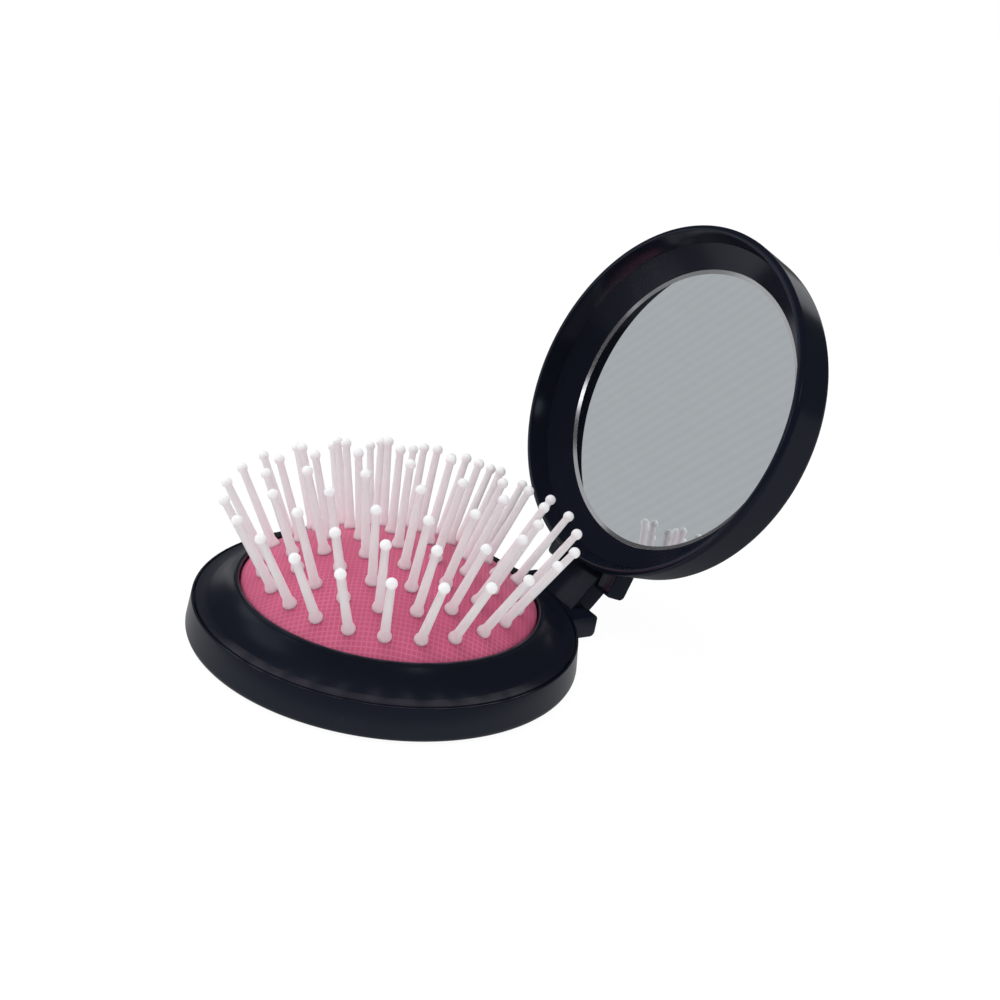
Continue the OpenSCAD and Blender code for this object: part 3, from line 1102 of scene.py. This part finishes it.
class RingTree:
    """The Geometry Nodes tree that stands a ring of bristles on the dome."""

    INPUTS = (("Bristle", "NodeSocketObject", None), ("Count", "NodeSocketInt", 6),
              ("Ring Radius", "NodeSocketFloat", 0.01), ("First Angle", "NodeSocketFloat", 0.0),
              ("Dome Radius", "NodeSocketFloat", 0.04), ("Dome Centre", "NodeSocketFloat", 0.0),
              ("Lean Scatter", "NodeSocketFloat", 0.0), ("Length Scatter", "NodeSocketFloat", 0.0),
              ("Seed", "NodeSocketInt", 1), ("Material", "NodeSocketMaterial", None))

    LEAN_SEED = 17.0

    def __init__(self) -> None:
        """Build the tree."""
        self.tree = bpy.data.node_groups.new("Bristle Ring", "GeometryNodeTree")
        sockets = self.tree.interface
        sockets.new_socket(name="Geometry", in_out="INPUT", socket_type="NodeSocketGeometry")
        for name, kind, default in self.INPUTS:
            socket = sockets.new_socket(name=name, in_out="INPUT", socket_type=kind)
            if default is not None:
                socket.default_value = default
        sockets.new_socket(name="Geometry", in_out="OUTPUT", socket_type="NodeSocketGeometry")
        n = Nodes(self.tree)
        self.given = n.add("NodeGroupInput").outputs
        out = n.add("NodeGroupOutput")
        real = n.add("GeometryNodeRealizeInstances", {0: self.tilted(n, self.standing(n))})
        coat = n.add("GeometryNodeSetMaterial", {"Geometry": real.outputs[0], "Material": self.given["Material"]})
        n.feed(out, {"Geometry": coat.outputs[0]})

    def standing(self, n: Nodes) -> NodeSocket:
        """Stand the bristles upright on the dome, each with its own length.

        Args:
            n: The tree's node helper.

        Returns:
            The socket with the instances.
        """
        g = self.given
        index = n.add("GeometryNodeInputIndex").outputs[0]
        angle = n.math("ADD", g["First Angle"], n.math("MULTIPLY", index, n.math("DIVIDE", math.tau, g["Count"])))
        reach, dome, scatter = g["Ring Radius"], g["Dome Radius"], g["Length Scatter"]
        squares = [n.math("MULTIPLY", side, side) for side in (dome, reach)]
        x, y = (n.math("MULTIPLY", reach, n.math(kind, angle)) for kind in ("COSINE", "SINE"))
        normal = n.vector(x, y, n.math("SQRT", n.math("SUBTRACT", *squares)))
        place = n.add("ShaderNodeVectorMath", {0: normal, 1: n.vector(z=g["Dome Centre"])}, operation="ADD")
        points = n.add("GeometryNodePoints", {"Count": g["Count"], "Position": place.outputs[0]})
        upright = n.add("FunctionNodeAlignRotationToVector", {"Vector": normal}, axis="Z")
        info = n.add("GeometryNodeObjectInfo", {"Object": g["Bristle"]}, transform_space="ORIGINAL")
        ends = {2: n.math("SUBTRACT", 1.0, scatter), 3: n.math("ADD", 1.0, scatter), "Seed": g["Seed"]}
        length = n.add("FunctionNodeRandomValue", ends, data_type="FLOAT").outputs[1]
        stand = {"Points": points.outputs[0], "Instance": info.outputs["Geometry"], "Rotation": upright.outputs[0],
                 "Scale": n.vector(1.0, 1.0, length)}
        return n.add("GeometryNodeInstanceOnPoints", stand).outputs[0]

    def tilted(self, n: Nodes, upright: NodeSocket) -> NodeSocket:
        """Lean each bristle a little to its own side.

        Args:
            n: The tree's node helper.
            upright: The socket with the upright bristles.

        Returns:
            The socket with the instances.
        """
        most = n.vector(self.given["Lean Scatter"], self.given["Lean Scatter"])
        least = n.add("ShaderNodeVectorMath", {0: most, "Scale": -1.0}, operation="SCALE").outputs[0]
        ends = {0: least, 1: most, "Seed": n.math("ADD", self.given["Seed"], self.LEAN_SEED)}
        lean = n.add("FunctionNodeRandomValue", ends, data_type="FLOAT_VECTOR").outputs[0]
        return n.add("GeometryNodeRotateInstances", {"Instances": upright, "Rotation": lean}).outputs[0]

    def apply(self, obj: Object, **values: object) -> None:
        """Run the tree on an object and keep the result as its plain mesh.

        Args:
            obj: The empty object that receives the ring.
            values: Inputs by name, with underscores for spaces.
        """
        modifier = obj.modifiers.new("bristles", "NODES")
        modifier.node_group = self.tree
        for item in self.tree.interface.items_tree:
            key = item.name.replace(" ", "_")
            if item.in_out == "INPUT" and key in values:
                modifier[item.identifier] = values[key]
        obj.update_tag()
        bake(obj, BRISTLE_SHARP_DEG)


@dataclass
class Bristles(Assembly):
    """The five groups of bristle pins."""

    cushion: Cushion
    sizes: BristleSizes = BristleSizes()
    lean_scatter_deg: float = 1.0
    length_scatter: float = 0.02
    head_gaps: Pair = (0.03, 0.83)
    segments: int = 14
    outer: Ring = Ring("bristles_outer", "pins_outer_ring", 22.2, 24, -1.5, 11, (1.4, 0.20))
    second: Ring = Ring("bristles_second", "pins_second_ring", 17.4, 18, 3.5, 23, (-167.0, 0.9))
    third: Ring = Ring("bristles_third", "pins_third_ring", 12.4, 12, 13.0, 5)
    inner: Ring = Ring("bristles_inner", "pins_inner_ring", 6.9, 6, -19.0, 41)
    centre: Ring = Ring("bristle_centre", "centre_pin", 0.0, 1, 0.0, 3)

    def pattern(self, name: str, shank: float) -> Object:
        """One bristle pin that the rings repeat."""
        return make_object(name, lambda bm: lathe(bm, self.sizes.outline(shank), self.segments),
                           sharp_deg=BRISTLE_SHARP_DEG)

    def ring(self, tree: RingTree, ring: Ring, bristle: Object) -> Object:
        """Stand one ring on the pad.

        Args:
            tree: The Geometry Nodes tree.
            ring: The ring to make.
            bristle: The pin that it repeats.

        Returns:
            The ring as one plain mesh.
        """
        obj = add_object(ring.name, bpy.data.meshes.new(ring.name))
        loose = 0.0 if ring.count == 1 else 1.0
        tree.apply(obj, Bristle=bristle, Count=ring.count, Ring_Radius=ring.radius * MM,
                   First_Angle=math.radians(ring.first_deg), Dome_Radius=self.cushion.dome_r * MM,
                   Dome_Centre=self.cushion.centre_z * MM, Lean_Scatter=math.radians(self.lean_scatter_deg) * loose,
                   Length_Scatter=self.length_scatter * loose, Seed=ring.seed,
                   Material=self.palette.material(self.palette.nylon))
        return obj

    def build(self) -> None:
        """Make every ring and say how it moves."""
        pad_pin = self.pattern("bristle_pattern_pad", self.cushion.pad_t + self.head_gaps[0])
        button_pin = self.pattern("bristle_pattern_button", self.cushion.pad_t + self.head_gaps[1])
        tree = RingTree()
        for ring, pin in ((self.outer, pad_pin), (self.second, pad_pin), (self.third, button_pin),
                          (self.inner, button_pin), (self.centre, button_pin)):
            obj = self.ring(tree, ring, pin)
            body = Body.BASE if ring.sink else Body.BUTTON
            self.finish_piece(obj, ring.node, body, self.palette.nylon)
            if ring.sink:
                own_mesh(obj)
        for pattern in (pad_pin, button_pin):
            bpy.data.objects.remove(pattern, do_unlink=True)


@dataclass
class Lid(Assembly):
    """The lid shell, the mirror frame and the mirror. Sizes in millimetres, depth from the rim."""

    hinge: Hinge
    lid_z: float = 6.2
    lid_r: float = 33.65
    lid_h: float = 10.0
    lid_round: float = 2.2
    lean_deg: float = 7.0
    rim_w: float = 1.35
    rim_round: float = 0.9
    frame_d: float = 3.9
    frame_r: float = 31.3
    mirror_r: float = 27.26
    mirror_d: float = 7.47
    mirror_t: float = 1.2
    mirror_lap: float = 1.0
    frame_lip: float = 0.4
    glue_t: float = 0.25
    fit: float = 0.05
    seat: float = 0.03
    edge_w: float = 0.8
    edge_rise: float = 0.3
    edge_gap: float = 0.02
    face_hold: float = 0.3

    @property
    def cavity_d(self) -> float:
        """Depth of the cavity's floor below the rim."""
        return self.mirror_d + self.mirror_t + self.glue_t

    def lift(self, outline: Iterable[Point]) -> list[Point]:
        """Depths below the rim as heights of the folded lid."""
        return [(r, self.lid_z + d) for r, d in outline]

    def shell_outline(self) -> list[Point]:
        """Half section of the lid shell.

        Returns:
            (r, z) points in millimetres.
        """
        back_r = self.lid_r - self.lid_h * math.tan(math.radians(self.lean_deg))
        outline = rounded_outline([
            Corner(0, self.lid_h), Corner(back_r, self.lid_h, self.lid_round), Corner(self.lid_r, 0, self.rim_round),
            Corner(self.lid_r - self.rim_w, 0, round=0.2), Corner(self.frame_r + self.fit, self.frame_d),
            Corner(self.frame_r + self.fit, self.cavity_d), Corner(0, self.cavity_d)], steps=8, support=0.3)
        return self.lift(outline)

    def frame_outline(self) -> list[Point]:
        """Half section of the mirror frame.

        Returns:
            (r, z) points in millimetres.
        """
        glass_r, outer_r = self.mirror_r + self.mirror_lap + self.fit, self.frame_r + self.seat
        outline = rounded_outline([
            Corner(outer_r, self.frame_d), Corner(self.mirror_r, self.mirror_d - self.frame_lip, round=0.1),
            Corner(self.mirror_r, self.mirror_d), Corner(glass_r, self.mirror_d), Corner(glass_r, self.cavity_d),
            Corner(outer_r, self.cavity_d)])
        return self.lift(outline)

    def mirror_solid(self, bm: BMesh) -> None:
        """Add the mirror to bm: a flat face, and a silvered edge that rises to the frame's lip.

        Args:
            bm: The mesh.
        """
        r, d, low = self.mirror_r + self.mirror_lap, self.mirror_d, self.mirror_d + self.mirror_t
        face_r, edge_r = self.mirror_r - self.edge_w, self.mirror_r - 2 * self.edge_gap
        lathe(bm, self.lift([(0, d), (face_r - self.face_hold, d), (face_r, d), (edge_r, d - self.edge_rise),
                             (self.mirror_r - self.edge_gap, d), (r, d), (r, low), (0, low)]))
        for face in bm.faces:
            reach = math.hypot(*face.calc_center_median().xy) / MM
            face.material_index = int(face_r < reach < edge_r)

    def build(self) -> None:
        """Make the lid's pieces folded shut, and open them."""
        hinge, pose = self.hinge, self.hinge.lid_pose
        shell = make_object("lid", lambda bm: lathe(bm, self.shell_outline()), sharp_deg=30)
        hinge.fit_to(shell, hinge.lid_pin, self.frame_r + self.fit)
        shell.data.transform(pose)
        self.finish_piece(shell, "lid_shell", Body.LID, self.palette.gloss)
        ring = make_object("mirror_ring", lambda bm: lathe(bm, self.frame_outline()), pose)
        self.finish_piece(ring, "mirror_frame", Body.LID, self.palette.gloss)
        glass = make_object("mirror_glass", self.mirror_solid, pose, sharp_deg=20)
        self.finish_piece(glass, "mirror", Body.LID, self.palette.glass, self.palette.glass_edge)
        self.keep_node("mirror_adhesive", self.palette.foam)


# Studio


@dataclass(frozen=True)
class Glow:
    """A soft-edged round patch of light in the room, for the reflections."""

    azimuth_deg: float
    elevation_deg: float
    inner_deg: float
    outer_deg: float
    strength: float

    @property
    def axis(self) -> Triple:
        """The direction of the patch, with azimuth counted from +X to +Y."""
        az, el = math.radians(self.azimuth_deg), math.radians(self.elevation_deg)
        return math.cos(az) * math.cos(el), math.sin(az) * math.cos(el), math.sin(el)


@dataclass(frozen=True)
class Pool:
    """A soft-edged round pool of light on the floor, for the reflections. Sizes in metres."""

    centre: Point
    inner: float
    outer: float
    strength: float


@dataclass(frozen=True)
class Softbox:
    """A rectangular soft light that the glossy pieces don't show. Sizes in metres."""

    name: str
    at: Triple
    size: Pair
    watts: float
    target: Triple = (0, 0.02, 0.02)

    def hang(self) -> None:
        """Add the light to the scene, turned to its target."""
        data = bpy.data.lights.new(self.name, "AREA")
        data.shape, data.energy = "RECTANGLE", self.watts
        data.size, data.size_y = self.size
        obj = add_object(self.name, data)
        obj.visible_glossy = False
        turn = (Vector(self.target) - Vector(self.at)).to_track_quat("-Z", "Y")
        obj.matrix_world = Matrix.Translation(self.at) @ turn.to_matrix().to_4x4()


@dataclass
class Studio:
    """The camera, lights and floor of the product photograph."""

    camera_at: Triple = (0.18103, -0.11193, 0.11170)
    azimuth_deg: float = 54.02
    elevation_deg: float = 21.228
    roll_deg: float = 10.33
    lens_mm: float = 48.79
    sensor_mm: float = 36.0
    clip_start: float = 0.01
    fill: float = 0.8
    room: Colour = (0.96, 0.985, 1.0)
    white: Colour = (1.0, 1.0, 1.0)
    dark: float = 0.02
    floor_half: float = 3.0
    floor_z: float = -0.0002
    floor_tone: Colour = (0.08, 0.08, 0.08)
    floor_white: float = 0.95
    floor_dark: float = 0.06
    pools: tuple[Pool, ...] = (Pool((0.0, 0.0), 0.041, 0.052, 0.28), Pool((-0.25, 0.06), 0.19, 0.215, 0.32))
    glows: tuple[Glow, ...] = (
        Glow(224.0, 10.0, 12.0, 15.0, 0.47),
        Glow(160.0, 20.0, 6.0, 10.0, 0.2),
        Glow(166.0, 0.0, 13.0, 16.0, 0.34),
        Glow(118.0, 11.0, 8.0, 13.0, 0.5),
        Glow(-3.0, 39.0, 3.0, 6.0, 1.1),
        Glow(235.0, 36.0, 12.0, 16.0, 0.36),
        Glow(259.0, 23.0, 2.0, 5.0, 2.5),
        Glow(252.0, 0.0, 5.0, 9.0, 0.42),
    )
    softboxes: tuple[Softbox, ...] = (Softbox("overhead", (-0.15, -0.1, 0.6), (0.5, 0.5), 1.5),
                                      Softbox("left", (-0.35, -0.35, 0.25), (0.25, 0.35), 0.4))

    def camera(self) -> None:
        """Stand the camera where the photograph was taken from."""
        az, el, roll = (math.radians(a) for a in (self.azimuth_deg, self.elevation_deg, self.roll_deg))
        back = Vector((math.sin(az) * math.cos(el), -math.cos(az) * math.cos(el), math.sin(el)))
        right = (-back).cross(Vector((0, 0, 1))).normalized()
        up = right.cross(-back)
        rolled_right = right * math.cos(roll) + up * math.sin(roll)
        rolled_up = up * math.cos(roll) - right * math.sin(roll)
        data = bpy.data.cameras.new("camera")
        data.lens, data.sensor_width, data.clip_start = self.lens_mm, self.sensor_mm, self.clip_start
        obj = add_object("camera", data)
        turn = Matrix((rolled_right, rolled_up, back)).transposed().to_4x4()
        obj.matrix_world = Matrix.Translation(self.camera_at) @ turn
        bpy.context.scene.camera = obj

    def reflected_room(self, n: Nodes) -> NodeSocket:
        """The brightness of the room that glossy rays meet, by direction.

        Args:
            n: The world's node helper.

        Returns:
            The socket with the brightness.
        """
        look = n.add("ShaderNodeTexCoord").outputs["Generated"]
        total: object = self.dark
        for glow in self.glows:
            facing = n.add("ShaderNodeVectorMath", {0: look, 1: glow.axis}, operation="DOT_PRODUCT").outputs["Value"]
            edge, full = (math.cos(math.radians(a)) for a in (glow.outer_deg, glow.inner_deg))
            total = n.math("MAXIMUM", n.ramp(facing, edge, full, (0.0, glow.strength), smooth=True), total)
        return total

    def world(self) -> None:
        """White behind the brush, an even fill on it, and a dark room with soft lights in its reflections."""
        world = bpy.data.worlds.new("room")
        bpy.context.scene.world = world
        world.use_nodes = True
        world.node_tree.nodes.clear()
        n = Nodes(world.node_tree)
        ray = n.add("ShaderNodeLightPath").outputs
        strength = n.pick(self.fill, self.reflected_room(n), ray["Is Glossy Ray"])
        room = n.add("ShaderNodeBackground", {"Color": self.room, "Strength": strength})
        white = n.add("ShaderNodeBackground", {"Color": self.white})
        mix = n.add("ShaderNodeMixShader", {"Fac": ray["Is Camera Ray"], 1: room.outputs[0], 2: white.outputs[0]})
        n.add("ShaderNodeOutputWorld", {"Surface": mix.outputs[0]})

    def floor(self) -> None:
        """Lay the pale floor: white to the camera, quiet in the reflections."""
        half, z = self.floor_half, self.floor_z
        mesh = bpy.data.meshes.new("floor")
        mesh.from_pydata([(-half, -half, z), (half, -half, z), (half, half, z), (-half, half, z)], [], [(0, 1, 2, 3)])
        material, n, shader = start_material("floor")
        place = n.place
        total: object = self.floor_dark
        for pool in self.pools:
            away = n.distance(place, (*pool.centre, 0.0))
            fade = n.ramp(away, pool.inner, pool.outer, (pool.strength, 0.0), smooth=True)
            total = n.math("MAXIMUM", fade, total)
        glossy = n.add("ShaderNodeLightPath").outputs["Is Glossy Ray"]
        n.feed(shader, {"Base Color": self.floor_tone, "Roughness": 1.0, "Specular IOR Level": 0.0,
                        "Emission Color": self.white, "Emission Strength": n.pick(self.floor_white, total, glossy)})
        mesh.materials.append(material)
        add_object("floor", mesh)

    def build(self) -> None:
        """Set up the studio."""
        self.camera()
        self.world()
        self.floor()
        for softbox in self.softboxes:
            softbox.hang()
        bpy.context.scene.view_settings.view_transform = "Standard"
        LOG.info("studio ready")


def main() -> None:
    """Build the brush from the hinge outwards, then the studio."""
    palette = Palette()
    hinge = Hinge(palette)
    hinge.build()
    Base(palette, hinge).build()
    cushion = Cushion(palette)
    cushion.build()
    Bristles(palette, cushion).build()
    Lid(palette, hinge).build()
    Studio().build()
    LOG.info("all pieces built")


if __name__ == "__main__":
    main()
